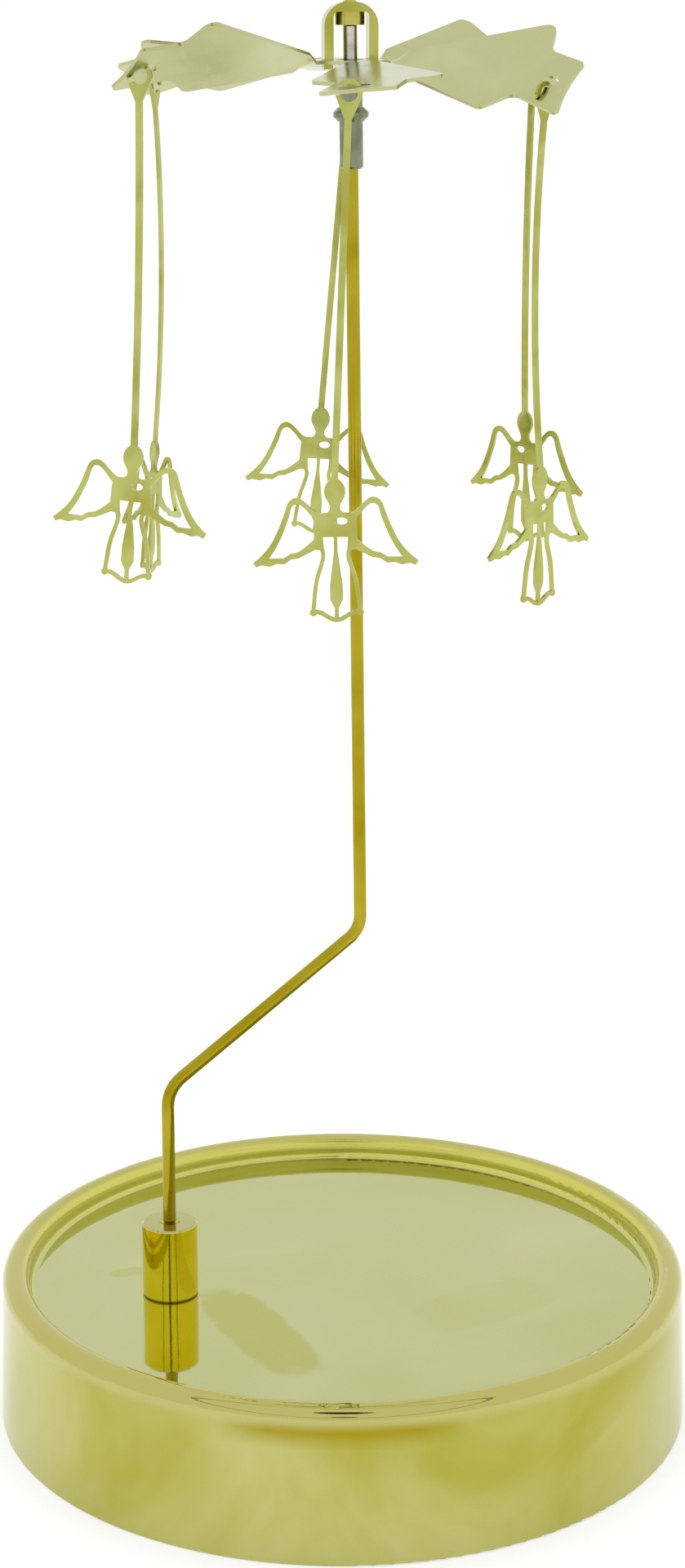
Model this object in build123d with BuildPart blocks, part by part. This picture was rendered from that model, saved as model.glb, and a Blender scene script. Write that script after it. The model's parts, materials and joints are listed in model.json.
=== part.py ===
"""Spinning angel carousel for a tealight.

A bladed rotor turns on a needle at the top of a cranked rod, and six flat angels hang
from its arms. The rod plugs into a turned socket on a pressed round tray.
Millimetres, +Z up, origin at the centre of the tray's underside, -Y towards the viewer.
"""

import os
from math import cos, radians, sin

from build123d import *

os.makedirs("parts", exist_ok=True)

# Tray, pressed from one sheet with a rolled rim, a sunk plate and a folded hem
tray_rim_radius = 41.0
skirt_flare = 0.5
tray_height = 18.7
tray_sheet = 0.6
rim_width = 3.2
rim_outer_bend = 1.4
rim_inner_bend = 1.15
plate_height = 16.0
plate_bend = 1.0
hem_width = 1.3
hem_height = 1.1
hem_edge_radius = 0.3

# Socket that holds the rod, fixed through the plate by a screw and washer
socket_x = -20.6
socket_y = -4.7
socket_radius = 3.3
socket_height = 9.15
socket_edge = 0.25
socket_mouth_radius = 1.25
socket_bore_depth = 5.2
tapped_hole_depth = 3.4
screw_radius = 1.25
screw_reach = 2.9
screw_tip_chamfer = 0.25
screw_head_radius = 2.3
screw_head_height = 1.5
screw_head_round = 0.6
screw_slot_width = 0.6
screw_slot_depth = 0.7
washer_radius = 3.0
washer_thickness = 0.4

# Cranked rod: up from the socket, across to the middle, then up with a slight lean
rod_radius = 0.75
rod_seat_gap = 0.2
lower_bend_height = 41.9
lower_bend_radius = 4.5
upper_bend_x = 2.1
upper_bend_height = 60.2
upper_bend_radius = 3.5
rod_top_height = 153.0
rod_end_chamfer = 0.15

# Needle and the ferrule that joins it to the rod
spin_x = 0.8
spin_y = 0.0
ferrule_radius = 1.3
ferrule_over_rod_length = 4.9
ferrule_over_needle_length = 6.6
ferrule_edge = 0.2
collar_radius = 1.95
collar_gap = 0.2
collar_width = 1.5
collar_edge = 0.5
needle_radius = 0.775
needle_foot_gap = 1.2
needle_bare_length = 4.95
needle_point_length = 1.2
needle_tip_radius = 0.06

# Rotor: a flat hub and six blades on twisted necks, cut from one sheet
rotor_sheet = 0.4
hub_drop = 4.95
hub_radius = 4.5
hub_hole_radius = 1.6
blade_azimuths = (-81, -26, 41, 99, 161, 217)
blade_pitches = (5, 39, 34, 2, 26, 32)
blade_rises = (-4.6, -0.2, 1.6, -5, -2.5, 4.2)
neck_start_radius = 5.2
neck_length = 1.4
neck_hub_width = 1.8
neck_blade_width = 3.6
blade_length = 21.0
blade_half_width = 7.0
blade_corner_radius = 1.2
blade_waist_radius = 1.5
tab_corner_radius = 0.5
hook_hole_radius = 0.9

# Bridge that stands on the hub, and the cup under it that sits on the needle
bridge_span = 5.9
bridge_thickness = 1.0
bridge_width = 3.0
bridge_roof_thickness = 1.05
bridge_shoulder_radius = 2.55
bridge_inner_radius = 0.5
bridge_yaw = 7
tongue_width = 2.0
tongue_reach = 0.6
cup_radius = 1.6
cup_height = 1.4
cup_mouth_radius = 1.15
cup_recess_depth = 1.1
cup_rivet_radius = 0.5
cup_rivet_head_radius = 0.8
cup_rivet_head_height = 0.25

# Angels, each one flat cut sheet: a ring, a strip and an openwork figure
angel_sheet = 0.35
angel_names = ("front", "front_right", "back_right", "back", "back_left", "front_left")
angel_yaws = (-9, -16, 4, -9, 0, 40)
angel_leans = (-2.2, 0.6, 0.5, 5.1, 2.5, -1.9)
figure_turns = (3.2, -1.0, -2.5, -2.0, 5.0, -2.6)
angel_sides = (1, 1, 1, -1, 1, 1)
strip_bows = (0.3, -1.0, -0.4, 0.3, -0.8, -0.8)
strip_lengths = (37.0, 36.9, 35.6, 36.8, 37.6, 36.6)
ring_outer_radius = 1.4
ring_inner_radius = 0.9
ring_rest_gap = 0.1
ring_seat_length = 0.8
ring_slit_above = 0.15
ring_slit_below = 0.4
ring_slit_reach = 3.0
ring_neck_angle = 30
ring_drop = 2.7
strip_width = 0.75
angel_height = 15.3
angel_half_span = 8.75
skirt_line = 0.45
hem_knob_radius = 0.38
chest_hole_offset = 0.65
chest_hole_width = 1.3
chest_hole_height = 0.8

# Fits and cutting
fit_gap = 0.02
running_gap = 0.05
overrun = 1.0
strip_overlap = 0.4

# Shares of a blade's length and half width, outwards and up the pitch
blade_upper_corner_share = (0.75, 0.94)
blade_lower_corner_share = (0.533, -1.0)
blade_upper_waist_share = (0.785, 0.31)
blade_lower_waist_share = (0.68, -0.66)
tab_upper_corner_share = (0.995, 0.05)
tab_end_middle_share = (0.962, -0.43)
tab_lower_corner_share = (0.971, -1.11)
hook_hole_share = (0.855, -0.386)

# Shares of the angel's half span and of its height down from the top of the head
head_shares = [(0.05, 0.0), (0.122, 0.06), (0.122, 0.11), (0.06, 0.19), (0.10, 0.232)]
bodice_shares = [(0.10, 0.232), (0.19, 0.235), (0.26, 0.29), (0.265, 0.40), (0.235, 0.49)]
waist_shares = [(0.14, 0.49), (0.15, 0.40)]
wing_top_shares = [(0.19, 0.235), (0.27, 0.205), (0.37, 0.15), (0.46, 0.125), (0.545, 0.145)]
wing_side_shares = [(0.60, 0.21), (0.65, 0.29), (0.72, 0.38), (0.80, 0.46), (0.90, 0.525), (1.0, 0.575)]
wing_tip_share = (0.965, 0.605)
wing_wave_shares = [(0.90, 0.59), (0.80, 0.60), (0.71, 0.582), (0.62, 0.585), (0.54, 0.552)]
wing_root_shares = [(0.45, 0.545), (0.235, 0.485)]
gap_top_shares = [(0.25, 0.27), (0.33, 0.22), (0.40, 0.18), (0.46, 0.166), (0.51, 0.18), (0.545, 0.235)]
gap_side_shares = [(0.59, 0.31), (0.655, 0.40), (0.735, 0.485), (0.81, 0.545)]
gap_wave_shares = [(0.72, 0.545), (0.63, 0.545), (0.55, 0.515), (0.46, 0.505), (0.38, 0.475)]
gap_root_share = (0.265, 0.42)
skirt_shares = [(0.20, 0.46), (0.152, 0.52), (0.175, 0.59), (0.23, 0.69), (0.262, 0.80), (0.285, 0.92)]
hem_shares = [(0.285, 0.93), (0.19, 0.935), (0.10, 0.965)]
hem_middle_share = 0.985
sash_shares = [(0.022, 0.39), (0.022, 0.50), (0.05, 0.62), (0.078, 0.74), (0.078, 0.84)]
sash_foot_shares = [(0.025, 0.90), (0.025, 0.97)]
chest_hole_share = 0.29

up = Vector(0, 0, 1)
towards_viewer = Vector(0, -1, 0)


def save(solid, name):
    solid.label = name
    export_step(solid, f"parts/{name}.step")


def side_view(origin, upwards):
    """Drawing plane that faces the viewer, with its Y axis along the given direction."""
    return Plane(origin=origin, x_dir=upwards.cross(towards_viewer), z_dir=towards_viewer)


# Base tray
tray_foot_radius = tray_rim_radius + skirt_flare
wall = tray_sheet / 2
rim_top_line = tray_height - wall
rim_outer_line = tray_rim_radius - wall
rim_inner_line = tray_rim_radius - rim_width + wall
plate_line = plate_height - wall
with BuildPart() as base_tray:
    with BuildSketch(Plane.XZ):
        with BuildLine():
            FilletPolyline(
                (tray_foot_radius - wall, hem_height / 2),
                (rim_outer_line, rim_top_line),
                (rim_inner_line, rim_top_line),
                (rim_inner_line, plate_line),
                (0, plate_line),
                radius=[rim_outer_bend, rim_inner_bend, plate_bend],
            )
        trace(line_width=tray_sheet)
    revolve(axis=Axis.Z)
    with BuildSketch(Plane.XZ):
        with Locations((tray_foot_radius - hem_width / 2, hem_height / 2)):
            RectangleRounded(hem_width, hem_height, hem_edge_radius)
    revolve(axis=Axis.Z)
    with Locations((socket_x, socket_y, plate_line)):
        Hole(screw_radius + running_gap)
save(base_tray.part, "base_tray")

# Rod socket
socket_foot = Plane(origin=(socket_x, socket_y, plate_height))
socket_top = plate_height + socket_height
rod_seat_height = socket_top - socket_bore_depth
with BuildPart() as rod_socket:
    with BuildSketch(socket_foot):
        Circle(socket_radius)
    extrude(amount=socket_height)
    chamfer(rod_socket.faces().sort_by(Axis.Z)[-1].edges(), length=socket_edge)
    with Locations((socket_x, socket_y, socket_top)):
        CounterSinkHole(rod_radius + running_gap, socket_mouth_radius, depth=socket_bore_depth)
    with BuildSketch(socket_foot):
        Circle(screw_radius + fit_gap)
    extrude(amount=tapped_hole_depth, mode=Mode.SUBTRACT)
save(rod_socket.part, "rod_socket")

# Washer and screw under the plate
washer_foot = Plane(origin=(socket_x, socket_y, plate_height - tray_sheet - washer_thickness))
with BuildPart() as socket_washer:
    with BuildSketch(washer_foot):
        Circle(washer_radius)
        Circle(screw_radius + running_gap, mode=Mode.SUBTRACT)
    extrude(amount=washer_thickness)
save(socket_washer.part, "socket_washer")

screw_foot = washer_foot.offset(-screw_head_height)
with BuildPart() as socket_screw:
    with BuildSketch(screw_foot):
        Circle(screw_head_radius)
    extrude(amount=screw_head_height)
    fillet(socket_screw.faces().sort_by(Axis.Z)[0].edges(), radius=screw_head_round)
    with BuildSketch(washer_foot):
        Circle(screw_radius)
    extrude(amount=washer_thickness + tray_sheet + screw_reach)
    chamfer(socket_screw.faces().sort_by(Axis.Z)[-1].edges(), length=screw_tip_chamfer)
    with BuildSketch(screw_foot):
        Rectangle(2 * screw_head_radius + overrun, screw_slot_width)
    extrude(amount=screw_slot_depth, mode=Mode.SUBTRACT)
save(socket_screw.part, "socket_screw")

# Support rod
rod_foot = Vector(socket_x, socket_y, rod_seat_height + rod_seat_gap)
lower_bend = Vector(socket_x, socket_y, lower_bend_height)
upper_bend = Vector(upper_bend_x, spin_y, upper_bend_height)
ferrule_foot_height = rod_top_height - ferrule_over_rod_length
ferrule_top_height = rod_top_height + ferrule_over_needle_length
needle_tip_height = ferrule_top_height + needle_bare_length
lean = (Vector(spin_x, spin_y, needle_tip_height) - upper_bend).normalized()


def run_length(height):
    """Distance along the rod's leaning upper run from its bend to the given height."""
    return (height - upper_bend_height) / lean.Z


with BuildPart() as support_rod:
    with BuildLine():
        FilletPolyline(
            rod_foot,
            lower_bend,
            upper_bend,
            upper_bend + lean * run_length(rod_top_height),
            radius=[lower_bend_radius, upper_bend_radius],
        )
    with BuildSketch(Plane(origin=rod_foot)):
        Circle(rod_radius)
    sweep()
    chamfer(support_rod.faces().sort_by(Axis.Z)[-1].edges(), length=rod_end_chamfer)
save(support_rod.part, "support_rod")

# Ferrule over the rod's top and the needle's foot
run_view = side_view(upper_bend, lean)
run_axis = Axis(upper_bend, lean)
ferrule_foot = run_length(ferrule_foot_height)
ferrule_top = run_length(ferrule_top_height)
ferrule_step = run_length(rod_top_height)
collar_foot = run_length(rod_top_height + collar_gap)
with BuildPart() as ferrule:
    with BuildSketch(run_view):
        with BuildLine():
            Polyline(
                (rod_radius + fit_gap, ferrule_foot),
                (ferrule_radius - ferrule_edge, ferrule_foot),
                (ferrule_radius, ferrule_foot + ferrule_edge),
                (ferrule_radius, collar_foot),
                (collar_radius - collar_edge, collar_foot),
                (collar_radius, collar_foot + collar_edge),
                (collar_radius, collar_foot + collar_width - collar_edge),
                (collar_radius - collar_edge, collar_foot + collar_width),
                (ferrule_radius, collar_foot + collar_width),
                (ferrule_radius, ferrule_top - ferrule_edge),
                (ferrule_radius - ferrule_edge, ferrule_top),
                (needle_radius + fit_gap, ferrule_top),
                (needle_radius + fit_gap, ferrule_step),
                (rod_radius + fit_gap, ferrule_step),
                close=True,
            )
        make_face()
    revolve(axis=run_axis)
save(ferrule.part, "ferrule")

# Needle
needle_foot = run_length(rod_top_height + needle_foot_gap)
needle_shoulder = run_length(needle_tip_height - needle_point_length)
needle_tip = run_length(needle_tip_height)
with BuildPart() as needle:
    with BuildSketch(run_view):
        with BuildLine():
            Polyline(
                (0, needle_foot),
                (needle_radius, needle_foot),
                (needle_radius, needle_shoulder),
                (needle_tip_radius, needle_tip),
                (0, needle_tip),
                close=True,
            )
        make_face()
    revolve(axis=run_axis)
save(needle.part, "needle")

# Cup that rides on the needle, riveted up through the bridge
spin_foot = Vector(spin_x, spin_y, 0)
cup_recess_top = needle_tip_height + running_gap
cup_foot_height = cup_recess_top - cup_recess_depth
cup_top_height = cup_foot_height + cup_height
bridge_top_height = cup_top_height + bridge_roof_thickness
with BuildPart() as needle_cup:
    with BuildSketch(side_view(spin_foot, up)):
        with BuildLine():
            Polyline(
                (0, cup_recess_top),
                (cup_mouth_radius, cup_foot_height),
                (cup_radius, cup_foot_height),
                (cup_radius, cup_top_height),
                (cup_rivet_radius, cup_top_height),
                (cup_rivet_radius, bridge_top_height),
                (cup_rivet_head_radius, bridge_top_height),
                (cup_rivet_radius, bridge_top_height + cup_rivet_head_height),
                (0, bridge_top_height + cup_rivet_head_height),
                close=True,
            )
        make_face()
    revolve(axis=Axis(spin_foot, up))
save(needle_cup.part, "needle_cup")

# Bridge over the hub
hub_height = needle_tip_height - hub_drop
hub_top = hub_height + rotor_sheet / 2
hub_underside = hub_height - rotor_sheet / 2
leg_centre = (bridge_span - bridge_thickness) / 2
inner_half_span = bridge_span / 2 - bridge_thickness
bridge_plan = Plane(origin=spin_foot).rotated((0, 0, bridge_yaw))
bridge_view = Plane(origin=spin_foot, x_dir=bridge_plan.x_dir, z_dir=-bridge_plan.y_dir)
with BuildPart() as rotor_bridge:
    with BuildSketch(bridge_view):
        with BuildLine():
            FilletPolyline(
                (-bridge_span / 2, hub_top),
                (-bridge_span / 2, bridge_top_height),
                (bridge_span / 2, bridge_top_height),
                (bridge_span / 2, hub_top),
                radius=bridge_shoulder_radius,
            )
            Line((bridge_span / 2, hub_top), (inner_half_span, hub_top))
            FilletPolyline(
                (inner_half_span, hub_top),
                (inner_half_span, cup_top_height),
                (-inner_half_span, cup_top_height),
                (-inner_half_span, hub_top),
                radius=bridge_inner_radius,
            )
            Line((-inner_half_span, hub_top), (-bridge_span / 2, hub_top))
        make_face()
    extrude(amount=bridge_width / 2, both=True)
    with BuildSketch(bridge_plan.offset(hub_underside - tongue_reach)):
        with Locations((-leg_centre, 0), (leg_centre, 0)):
            Rectangle(bridge_thickness, tongue_width)
    extrude(amount=tongue_reach + rotor_sheet)
    with BuildSketch(bridge_plan.offset(cup_top_height)):
        Circle(cup_rivet_radius + fit_gap)
    extrude(amount=bridge_top_height - cup_top_height + overrun, mode=Mode.SUBTRACT)
save(rotor_bridge.part, "rotor_bridge")


def radial(azimuth):
    return Vector(1, 0, 0).rotate(Axis.Z, azimuth)


def neck_end(azimuth):
    """Plane across a neck where it leaves the hub."""
    outward = radial(azimuth)
    origin = spin_foot + up * hub_height + outward * neck_start_radius
    return Plane(origin=origin, x_dir=up.cross(outward), z_dir=outward)


def blade_plane(azimuth, rise, pitch):
    """Middle plane of one blade, with X outwards and Y up the pitch."""
    outward = radial(azimuth)
    root = spin_foot + up * hub_height + outward * (neck_start_radius + neck_length)
    level = Plane(origin=root, x_dir=outward, z_dir=up)
    return Plane(level.location * Rotation(0, -rise, 0) * Rotation(pitch, 0, 0))


def blade_point(share):
    return (share[0] * blade_length, share[1] * blade_half_width)


blade_planes = [blade_plane(*bend) for bend in zip(blade_azimuths, blade_rises, blade_pitches)]
upper_corner = blade_point(blade_upper_corner_share)
lower_corner = blade_point(blade_lower_corner_share)
upper_waist = blade_point(blade_upper_waist_share)
lower_waist = blade_point(blade_lower_waist_share)
tab_upper_corner = blade_point(tab_upper_corner_share)
tab_end_middle = blade_point(tab_end_middle_share)
tab_lower_corner = blade_point(tab_lower_corner_share)
hook_hole = blade_point(hook_hole_share)

# Rotor
hub_plan = Plane(origin=spin_foot + up * hub_underside)
with BuildPart() as rotor:
    with BuildSketch(hub_plan):
        Circle(hub_radius)
        for azimuth in blade_azimuths:
            with PolarLocations(neck_start_radius / 2, 1, start_angle=azimuth):
                Rectangle(neck_start_radius, neck_hub_width)
        Circle(hub_hole_radius, mode=Mode.SUBTRACT)
    extrude(amount=rotor_sheet)
    with BuildSketch(bridge_plan.offset(hub_underside)):
        with Locations((-leg_centre, 0), (leg_centre, 0)):
            Rectangle(bridge_thickness + 2 * fit_gap, tongue_width + 2 * fit_gap)
    extrude(amount=rotor_sheet, mode=Mode.SUBTRACT)
    for azimuth, plane in zip(blade_azimuths, blade_planes):
        with BuildSketch(neck_end(azimuth)):
            Rectangle(neck_hub_width, rotor_sheet)
        with BuildSketch(Plane(origin=plane.origin, x_dir=plane.y_dir, z_dir=plane.x_dir)):
            Rectangle(neck_blade_width, rotor_sheet)
        loft()
        with BuildSketch(plane) as blade:
            with BuildLine():
                FilletPolyline(
                    (0, -neck_blade_width / 2),
                    lower_corner,
                    lower_waist,
                    tab_lower_corner,
                    radius=[blade_corner_radius, blade_waist_radius],
                )
                ThreePointArc(tab_lower_corner, tab_end_middle, tab_upper_corner)
                FilletPolyline(
                    tab_upper_corner,
                    upper_waist,
                    upper_corner,
                    (0, neck_blade_width / 2),
                    radius=[blade_waist_radius, blade_corner_radius],
                )
                Line((0, neck_blade_width / 2), (0, -neck_blade_width / 2))
            make_face()
            fillet(blade.vertices().sort_by(Axis.X)[-2:], radius=tab_corner_radius)
            with Locations(hook_hole):
                Circle(hook_hole_radius, mode=Mode.SUBTRACT)
        extrude(amount=rotor_sheet / 2, both=True)
save(rotor.part, "rotor")


def seat_plane(plane, facing):
    """Ring's own plane, with its origin on the blade beside the hook hole and X downhill."""
    line = facing.cross(plane.z_dir).normalized()
    downhill = -line if line.Z > 0 else line
    normal = facing if facing.cross(downhill).Z > 0 else -facing
    hole = plane.from_local_coords(Vector(*hook_hole))
    middle = hole + downhill * (hook_hole_radius + ring_seat_length / 2)
    return Plane(origin=middle, x_dir=downhill, z_dir=normal)


def half_sheet(plane, seat):
    """Half the blade's thickness as the ring's plane cuts it."""
    return rotor_sheet / 2 / abs(seat.y_dir.dot(plane.z_dir))


def ring_centre(plane, facing):
    """Centre of an open ring that goes up through the hook hole and rests on the blade."""
    seat = seat_plane(plane, facing)
    corner = seat.y_dir * half_sheet(plane, seat) - seat.x_dir * ring_seat_length / 2
    reach = ring_inner_radius - ring_rest_gap
    sideways = up.cross(facing).dot(corner)
    hang = (reach**2 - sideways**2) ** 0.5 - corner.Z
    return seat.origin - up * hang


def placed(shares, side=1):
    """Points in millimetres below the top of the head from shares of half span and height."""
    reach = side * angel_half_span
    return [(across * reach, -down * angel_height) for across, down in shares]


def both_sides(shares):
    """Closed outline from one side's points and their mirror image."""
    return placed(shares) + placed(shares, -1)[::-1]


# Flat outline shared by the six angels, from the top of the head down
with BuildSketch() as angel_outline:
    with BuildLine():
        Spline(*placed(head_shares))
        Spline(*placed(head_shares, -1))
        Line(placed(head_shares)[0], placed(head_shares, -1)[0])
        Line(placed(head_shares)[-1], placed(head_shares, -1)[-1])
    make_face()
    with BuildLine():
        Polyline(*both_sides(bodice_shares + waist_shares), close=True)
    make_face()
    for side in (-1, 1):
        with BuildLine():
            wing_edge = Spline(*placed(wing_top_shares + wing_side_shares, side))
            lower_shares = [wing_tip_share] + wing_wave_shares + wing_root_shares
            Polyline(wing_edge @ 1, *placed(lower_shares, side), wing_edge @ 0)
        make_face()
        with BuildLine():
            gap_edge = Spline(*placed(gap_top_shares + gap_side_shares, side))
            Polyline(gap_edge @ 1, *placed(gap_wave_shares + [gap_root_share], side), gap_edge @ 0)
        make_face(mode=Mode.SUBTRACT)
        with BuildLine():
            Spline(*placed(skirt_shares, side))
        trace(line_width=skirt_line)
        with Locations(placed(hem_shares, side)[0]):
            Circle(hem_knob_radius)
    with BuildLine():
        hem_middle = (0, -hem_middle_share * angel_height)
        Spline(*placed(hem_shares), hem_middle, *placed(hem_shares, -1)[::-1])
    trace(line_width=skirt_line)
    with BuildLine():
        Polyline(*both_sides(sash_shares + sash_foot_shares), close=True)
    make_face()

# Angels
ring_neck_across = ring_outer_radius * cos(radians(ring_neck_angle))
ring_neck_down = ring_outer_radius * sin(radians(ring_neck_angle))
neck_of_ring = [(ring_neck_across, -ring_neck_down), (strip_width / 2, -ring_drop)]
for place, azimuth, plane, yaw, lean_angle, turn, side, bow, strip_length in zip(
    angel_names,
    blade_azimuths,
    blade_planes,
    angel_yaws,
    angel_leans,
    figure_turns,
    angel_sides,
    strip_bows,
    strip_lengths,
):
    head_top = -ring_drop - strip_length
    facing = radial(azimuth + yaw)
    upright = Plane(origin=ring_centre(plane, facing), x_dir=up.cross(facing), z_dir=facing)
    hung = Plane(upright.location * Rotation(0, 0, lean_angle))
    figure = Plane(hung.location * Pos(0, head_top, 0) * Rotation(0, 0, turn))
    edge_on = Plane(origin=hung.origin, x_dir=hung.z_dir, z_dir=-hung.x_dir)
    with BuildPart() as angel:
        with BuildSketch(figure):
            add(angel_outline.sketch)
            with Locations((side * chest_hole_offset, -chest_hole_share * angel_height)):
                Ellipse(chest_hole_width / 2, chest_hole_height / 2, mode=Mode.SUBTRACT)
        extrude(amount=angel_sheet / 2, both=True)
        with BuildSketch(hung):
            Circle(ring_outer_radius)
            with BuildLine():
                Polyline(*neck_of_ring, *[(-x, y) for x, y in reversed(neck_of_ring)], close=True)
            make_face()
            Circle(ring_inner_radius, mode=Mode.SUBTRACT)
        extrude(amount=angel_sheet / 2, both=True)
        seat = seat_plane(plane, facing)
        slit_top = half_sheet(plane, seat) + ring_slit_above
        slit_bottom = -half_sheet(plane, seat) - ring_slit_below
        with BuildSketch(seat):
            with Locations((ring_slit_reach / 2, (slit_top + slit_bottom) / 2)):
                Rectangle(ring_slit_reach, slit_top - slit_bottom)
        extrude(amount=ring_outer_radius, both=True, mode=Mode.SUBTRACT)
        with BuildSketch(edge_on):
            with BuildLine():
                ThreePointArc(
                    (0, strip_overlap - ring_drop),
                    (bow, -ring_drop - strip_length / 2),
                    (0, head_top - strip_overlap),
                )
            trace(line_width=angel_sheet)
        extrude(amount=strip_width / 2, both=True)
    save(angel.part, f"angel_{place}")
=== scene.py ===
"""Looks of the spinning angel carousel: plated metal, a white studio and the camera."""

import bpy
import json
from math import cos, radians
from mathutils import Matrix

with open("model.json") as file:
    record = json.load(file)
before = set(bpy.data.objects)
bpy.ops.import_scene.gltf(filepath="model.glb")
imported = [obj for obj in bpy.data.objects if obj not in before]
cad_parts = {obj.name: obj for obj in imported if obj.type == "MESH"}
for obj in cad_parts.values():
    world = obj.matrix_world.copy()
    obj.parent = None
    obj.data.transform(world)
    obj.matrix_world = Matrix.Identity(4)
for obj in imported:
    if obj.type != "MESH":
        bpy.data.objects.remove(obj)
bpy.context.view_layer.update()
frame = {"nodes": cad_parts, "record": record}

# The sRGB curve and its straight foot
srgb_levels = 255
srgb_foot_end = 0.04045
srgb_foot_slope = 12.92
srgb_offset = 0.055
srgb_power = 2.4

# Patterns of every plated surface: shapes of the noises, and the span of each that shows
tint_detail = 4.0
tint_distortion = 0.6
tint_span = (0.34, 0.68)
smear_scale_factor = 3.1
smear_stretch = (1.0, 0.35, 1.6)
smear_detail = 6.0
smear_rough = 0.62
smear_distortion = 1.4
smear_span = (0.5, 0.78)
ripple_scale_factor = 1.3
ripple_detail = 1.0
ripple_depth = 0.01
hair_stretch = (260.0, 9.0, 60.0)
hair_scale = 6.0
hair_depth = 0.0002
grain_scale = 5200.0
grain_depth = 0.0001
fine_detail = 2.0

# Painted reflection tints on the tray's skirt, rim and inner wall, and a painted reflection band on the
# skirt's front: each fades in over a span of height and one of radius, the band over one of y
skirt_heights = (0.0160, 0.0176)
skirt_radii = (0.0395, 0.0403)
# Painted reflection of the floor on the skirt: pale and deep tints, mixed by the blotches below
skirt_reflection_pale = (190, 188, 116)
skirt_reflection_deep = (168, 163, 52)
blotch_scale = 34.0
blotch_detail = 4.0
blotch_rough = 0.5
blotch_distortion = 0.9
blotch_span = (0.36, 0.70)
# Painted reflection: a dark band on the front of the skirt, near its top
band_heights = (0.0138, 0.0158)
band_reach = (-0.0385, -0.0402)
front_band_reflection_share = 0.85
front_band_reflection_colour = (160, 142, 4)
# Painted reflection on the rim bead: its own tint
rim_heights = (0.0166, 0.0176)
rim_radii = (0.0368, 0.0374)
rim_reflection_colour = (188, 182, 106)
# Inner wall of the recess: a painted reflection in its paler tint, and real extra roughness
wall_heights = (0.0160, 0.0164)
wall_radii = (0.0382, 0.0386)
wall_rough = 0.22
wall_reflection_colour = (208, 204, 104)

# Smudges on the tray's plate: centre, angle, half length, half width and strength
plate_floor = (0.0150, 0.0155)
plate_ceiling = (0.0164, 0.0168)
smudge_colour = (178, 176, 88)
smudge_rough = 0.16
smudge_power = 3.0
smudge_noise_scale = 420.0
smudge_noise_span = (0.3, 0.7)
smudge_ragged = 0.22
smudge_edge = (0.6, 1.25)
smudges = [
    ((-0.0098, -0.0154), -64, 0.0125, 0.0040, 0.8),
    ((-0.0262, 0.0010), 20, 0.0022, 0.0012, 0.5),
    ((0.0298, 0.0272), -10, 0.0016, 0.0012, 0.6),
    ((0.0170, -0.0080), 35, 0.0090, 0.0050, 0.15),
]

# Finishes: light and deep tint, tint scale, least and most roughness, ripple and grain
usual_ripple = 0.012
usual_grain = 0.02
finishes = {
    "gold_tray": ((191, 194, 138), (184, 187, 122), 30.0, (0.03, 0.08), 0.006, 0.012),
    "gold_fittings": ((242, 222, 56), (226, 202, 24), 90.0, (0.06, 0.12), usual_ripple, usual_grain),
    "gold_rod": ((176, 160, 44), (156, 138, 14), 120.0, (0.08, 0.16), usual_ripple, usual_grain),
    "gold_rotor": ((194, 197, 148), (182, 184, 128), 70.0, (0.20, 0.32), 0.02, usual_grain),
    "gold_angels": ((186, 190, 112), (164, 162, 74), 160.0, (0.10, 0.20), usual_ripple, usual_grain),
    "gold_bridge": ((182, 182, 98), (164, 160, 66), 160.0, (0.10, 0.18), usual_ripple, usual_grain),
    "brass_cup": ((196, 194, 104), (176, 168, 74), 300.0, (0.2, 0.3), usual_ripple, usual_grain),
    "grey_ferrule": ((152, 155, 132), (124, 127, 104), 260.0, (0.22, 0.34), usual_ripple, 0.05),
    "polished_needle": ((206, 204, 198), (150, 146, 136), 300.0, (0.04, 0.08), usual_ripple, usual_grain),
    "zinc_screw": ((200, 200, 196), (168, 168, 162), 400.0, (0.2, 0.34), usual_ripple, usual_grain),
}

# Painted dark shade line at the foot and painted highlight on the paler top of the socket: heights, fades
# and colours
socket_foot = 0.01605
socket_foot_fade = 0.0003
socket_foot_shade_colour = (92, 76, 10)
# Painted highlight: the socket's top is paler
socket_top = 0.0248
socket_top_fade = 0.0002
socket_top_highlight_colour = (180, 178, 112)

# Room: dark spots by direction, inner and outer angle and darkest share, and a ring round the last
dark_spots = [((0.0, -0.905, 0.425), 2.5, 5.0, 0.2), ((0.0, -0.574, 0.819), 6.0, 8.0, 0.02)]
ring_angle = 37
ring_fade = (0.006, 0.014)
ring_darkest = 0.45
room_strength = 0.95

# Floor
floor_size = 6.0
floor_colour = (0.95, 0.95, 0.95, 1.0)
floor_glow = 1.1
floor_glow_share = 0.5

# Soft box and camera
box_size = 1.2
box_energy = 4.6
box_place = (0.0, 0.1, 1.1)
camera_lens = 70.79
camera_sensor = 36.0
camera_near = 0.01
camera_place = (0.0, -0.3456, 0.17175)
camera_tilt = 74.798


def linear(red, green, blue):
    """Linear colour with alpha from 8-bit sRGB values."""
    shares = [value / srgb_levels for value in (red, green, blue)]
    curved = [((share + srgb_offset) / (1 + srgb_offset)) ** srgb_power for share in shares]
    return [s / srgb_foot_slope if s <= srgb_foot_end else c for s, c in zip(shares, curved)] + [1.0]


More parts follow.
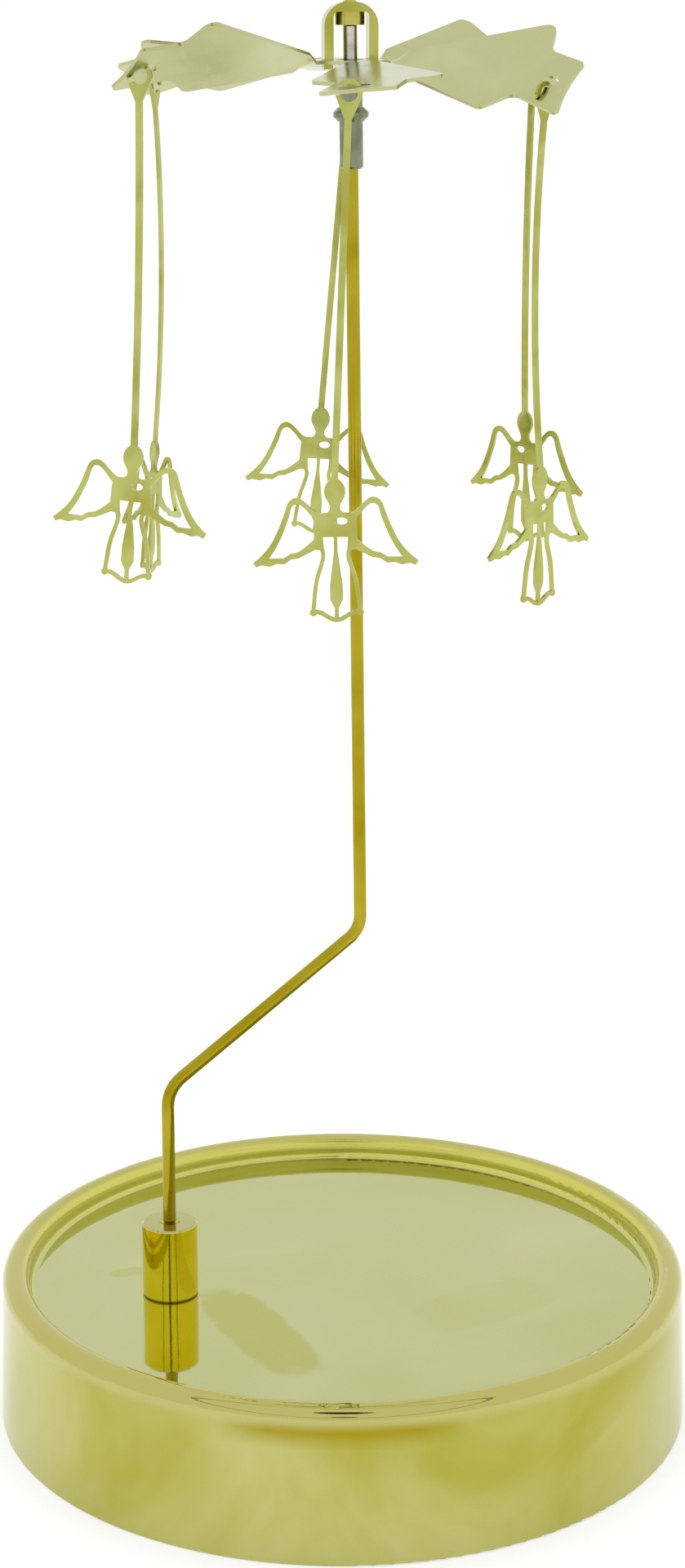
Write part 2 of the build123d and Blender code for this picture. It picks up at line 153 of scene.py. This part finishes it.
class Nodes:
    """Small helper around one node tree."""

    def __init__(self, tree):
        self.tree = tree
        tree.nodes.clear()

    def add(self, kind, inputs=None, **settings):
        """New node; each input takes another node's socket or a plain value."""
        node = self.tree.nodes.new(kind)
        for key, value in settings.items():
            setattr(node, key, value)
        for key, value in (inputs or {}).items():
            if isinstance(value, bpy.types.NodeSocket):
                self.tree.links.new(value, node.inputs[key])
            else:
                node.inputs[key].default_value = value
        return node

    def maths(self, operation, *values):
        return self.add("ShaderNodeMath", dict(enumerate(values)), operation=operation).outputs[0]

    def product(self, first, second):
        return self.maths("MULTIPLY", first, second)

    def span(self, value, low, high, out_low=0.0, out_high=1.0, smooth=False):
        """Value between low and high mapped to the two outputs, and held outside them."""
        ends = {"From Min": low, "From Max": high, "To Min": out_low, "To Max": out_high}
        kind = "SMOOTHSTEP" if smooth else "LINEAR"
        return self.add("ShaderNodeMapRange", {"Value": value, **ends}, interpolation_type=kind).outputs[0]

    def under(self, value, low, high):
        """1 below low and 0 above high."""
        return self.span(value, low, high, 1.0, 0.0)

    def mix(self, share, first, second):
        """Two colours mixed; the numbers are the node's sockets for colours."""
        return self.add("ShaderNodeMix", {0: share, 6: first, 7: second}, data_type="RGBA").outputs[2]

    def noise(self, vector, scale, detail=3.0, rough=0.5, distortion=0.0):
        shape = {"Scale": scale, "Detail": detail, "Roughness": rough, "Distortion": distortion}
        return self.add("ShaderNodeTexNoise", {"Vector": vector, **shape}).outputs[0]

    def stretched(self, vector, scale):
        return self.add("ShaderNodeMapping", {"Vector": vector, "Scale": scale}).outputs[0]

    def bump(self, height, strength, distance, normal=None):
        """Normal after one more layer of bump."""
        inputs = {"Strength": strength, "Distance": distance, "Height": height}
        if normal is not None:
            inputs["Normal"] = normal
        return self.add("ShaderNodeBump", inputs).outputs[0]


def smudge_mask(nodes, position, centre, angle, half_length, half_width):
    """Mask of one soft-edged smear on a level surface: 1 in its middle, 0 outside."""
    place = {
        "Vector": position,
        "Location": (centre[0], centre[1], 0),
        "Rotation": (0, 0, angle),
        "Scale": (half_length, half_width, 1.0),
    }
    local = nodes.add("ShaderNodeMapping", place, vector_type="TEXTURE").outputs[0]
    parts = nodes.add("ShaderNodeSeparateXYZ", {0: local}).outputs
    along, across = [nodes.maths("POWER", nodes.maths("ABSOLUTE", part), smudge_power) for part in parts[:2]]
    uneven = nodes.noise(position, smudge_noise_scale)
    uneven = nodes.span(uneven, *smudge_noise_span, -smudge_ragged, smudge_ragged)
    edge = nodes.maths("ADD", nodes.maths("ADD", along, across), uneven)
    return nodes.span(edge, *smudge_edge, 1.0, 0.0, smooth=True)


def dress_tray(nodes, position, colour, roughness):
    """Colour and roughness of the tray: painted reflection tints on the skirt, its front band, the rim and
    the inner wall, extra roughness on the inner wall, and the smudged plate.
    """
    x, y, z = nodes.add("ShaderNodeSeparateXYZ", {0: position}).outputs[:3]
    radius = nodes.maths("SQRT", nodes.maths("ADD", nodes.product(x, x), nodes.product(y, y)))
    # Painted reflection of the floor: the skirt takes a deeper tint, mottled by noise
    skirt = nodes.product(nodes.under(z, *skirt_heights), nodes.span(radius, *skirt_radii))
    blotches = nodes.noise(position, blotch_scale, blotch_detail, blotch_rough, blotch_distortion)
    blotches = nodes.span(blotches, *blotch_span)
    skirt_reflection_tint = nodes.mix(blotches, linear(*skirt_reflection_pale), linear(*skirt_reflection_deep))
    # Painted reflection: a dark band on the skirt's front side only
    band = nodes.product(nodes.span(z, *band_heights), nodes.span(y, *band_reach))
    skirt_reflection_tint = nodes.mix(nodes.product(band, front_band_reflection_share), skirt_reflection_tint, linear(*front_band_reflection_colour))
    colour = nodes.mix(skirt, colour, skirt_reflection_tint)
    # Painted reflection: the rim bead takes its own tint
    rim = nodes.product(nodes.span(z, *rim_heights), nodes.span(radius, *rim_radii))
    colour = nodes.mix(rim, colour, linear(*rim_reflection_colour))
    # Painted reflection: the inner wall takes a paler tint; its added roughness is real
    wall = nodes.product(nodes.span(z, *wall_heights), nodes.under(radius, *wall_radii))
    roughness = nodes.maths("ADD", roughness, nodes.product(wall, wall_rough))
    colour = nodes.mix(wall, colour, linear(*wall_reflection_colour))
    for centre, angle, half_length, half_width, strength in smudges:
        mask = smudge_mask(nodes, position, centre, radians(angle), half_length, half_width)
        mask = nodes.product(mask, nodes.span(z, *plate_floor))
        mask = nodes.product(mask, nodes.under(z, *plate_ceiling))
        colour = nodes.mix(nodes.product(mask, strength), colour, linear(*smudge_colour))
        roughness = nodes.maths("ADD", roughness, nodes.product(mask, smudge_rough * strength))
    return colour, roughness


def dress_socket(nodes, position, colour):
    """Colour of the socket with a painted dark shade line at its foot and a painted highlight on its paler
    top.
    """
    height = nodes.add("ShaderNodeSeparateXYZ", {0: position}).outputs[2]
    # Painted shade: a dark line at the socket's foot on the plate
    foot = nodes.under(height, socket_foot, socket_foot + socket_foot_fade)
    # Painted highlight: a paler tint on the socket's top
    top = nodes.span(height, socket_top, socket_top + socket_top_fade)
    colour = nodes.mix(foot, colour, linear(*socket_foot_shade_colour))
    return nodes.mix(top, colour, linear(*socket_top_highlight_colour))


def plated(name, light, deep, tint_scale, rough, ripple, grain):
    """Bright plated metal: cloudy tint, wiped smears, a faint ripple and hairline scratches."""
    material = bpy.data.materials.new(name)
    material.use_nodes = True
    nodes = Nodes(material.node_tree)
    position = nodes.add("ShaderNodeTexCoord").outputs["Object"]
    clouds = nodes.noise(position, tint_scale, tint_detail, distortion=tint_distortion)
    colour = nodes.mix(nodes.span(clouds, *tint_span), linear(*light), linear(*deep))
    wiped = nodes.stretched(position, smear_stretch)
    smears = nodes.noise(wiped, tint_scale * smear_scale_factor, smear_detail, smear_rough, smear_distortion)
    roughness = nodes.span(nodes.span(smears, *smear_span), 0.0, 1.0, *rough)
    # Painted dark shade line at the socket's foot and painted highlight on its top
    if name == "gold_fittings":
        colour = dress_socket(nodes, position, colour)
    # Painted reflection tints on the tray's skirt, front band, rim and inner wall
    if name == "gold_tray":
        colour, roughness = dress_tray(nodes, position, colour, roughness)
    waves = nodes.noise(position, tint_scale * ripple_scale_factor, ripple_detail)
    hairs = nodes.noise(nodes.stretched(position, hair_stretch), hair_scale, fine_detail)
    grains = nodes.noise(position, grain_scale, fine_detail)
    normal = nodes.bump(waves, ripple, ripple_depth)
    normal = nodes.bump(hairs, grain, hair_depth, normal)
    normal = nodes.bump(grains, grain, grain_depth, normal)
    surface = {"Base Color": colour, "Metallic": 1.0, "Roughness": roughness, "Normal": normal}
    shader = nodes.add("ShaderNodeBsdfPrincipled", surface)
    nodes.add("ShaderNodeOutputMaterial", {"Surface": shader.outputs[0]})
    return material


# Materials of the CAD nodes
materials = {name: plated(name, *finish) for name, finish in finishes.items()}
slots = {entry["node"]: entry["material_slot"] for entry in frame["record"]["subparts"]}
for node, obj in frame["nodes"].items():
    kind = "gold_bridge" if node == "rotor_bridge" else slots[node]
    obj.data.materials.clear()
    obj.data.materials.append(materials[kind])

# Floor, white to the camera and in reflections but for a soft share of the object's shadow
bpy.ops.mesh.primitive_plane_add(size=floor_size)
floor = bpy.context.object
floor.name = "floor"
floor_material = bpy.data.materials.new("floor")
floor_material.use_nodes = True
nodes = Nodes(floor_material.node_tree)
rays = nodes.add("ShaderNodeLightPath").outputs
seen = nodes.maths("MAXIMUM", rays["Is Camera Ray"], rays["Is Glossy Ray"])
shade = nodes.add("ShaderNodeBsdfDiffuse", {"Color": floor_colour}).outputs[0]
glow = nodes.add("ShaderNodeEmission", {"Strength": floor_glow}).outputs[0]
glow_share = nodes.product(seen, floor_glow_share)
surface = nodes.add("ShaderNodeMixShader", {0: glow_share, 1: shade, 2: glow}).outputs[0]
nodes.add("ShaderNodeOutputMaterial", {"Surface": surface})
floor.data.materials.append(floor_material)

# White room, with its dark places seen only in reflections
world = bpy.data.worlds.new("studio")
bpy.context.scene.world = world
world.use_nodes = True
nodes = Nodes(world.node_tree)
rays = nodes.add("ShaderNodeLightPath").outputs
direction = nodes.add("ShaderNodeTexCoord").outputs["Generated"]
room = 1.0
for spot_direction, inner_angle, outer_angle, darkest in dark_spots:
    facing = {0: direction, 1: spot_direction}
    facing = nodes.add("ShaderNodeVectorMath", facing, operation="DOT_PRODUCT").outputs["Value"]
    edge = (cos(radians(outer_angle)), cos(radians(inner_angle)))
    room = nodes.product(room, nodes.span(facing, *edge, 1.0, darkest, smooth=True))
ring = nodes.maths("ABSOLUTE", nodes.maths("SUBTRACT", facing, cos(radians(ring_angle))))
room = nodes.product(room, nodes.span(ring, *ring_fade, ring_darkest, 1.0, smooth=True))
black = (0, 0, 0, 1)
white = (1, 1, 1, 1)
mirrored, plain, dim = [
    nodes.add("ShaderNodeBackground", {"Color": colour, "Strength": strength}).outputs[0]
    for colour, strength in ((nodes.mix(room, black, white), 1.0), (white, 1.0), (white, room_strength))
]
straight = nodes.maths("MAXIMUM", rays["Is Camera Ray"], rays["Is Transmission Ray"])
inner = nodes.add("ShaderNodeMixShader", {0: rays["Is Glossy Ray"], 1: dim, 2: mirrored}).outputs[0]
outer = nodes.add("ShaderNodeMixShader", {0: straight, 1: inner, 2: plain}).outputs[0]
nodes.add("ShaderNodeOutputWorld", {"Surface": outer})

# Soft box overhead
light = bpy.data.lights.new("soft_box", "AREA")
light.shape = "SQUARE"
light.size = box_size
light.energy = box_energy
lamp = bpy.data.objects.new("soft_box", light)
lamp.location = box_place
lamp.visible_glossy = False
bpy.context.scene.collection.objects.link(lamp)

# Camera
camera_data = bpy.data.cameras.new("camera")
camera_data.lens = camera_lens
camera_data.sensor_width = camera_sensor
camera_data.clip_start = camera_near
camera = bpy.data.objects.new("camera", camera_data)
camera.location = camera_place
camera.rotation_euler = (radians(camera_tilt), 0.0, 0.0)
bpy.context.scene.collection.objects.link(camera)
bpy.context.scene.camera = camera

bpy.context.scene.view_settings.view_transform = "Standard"
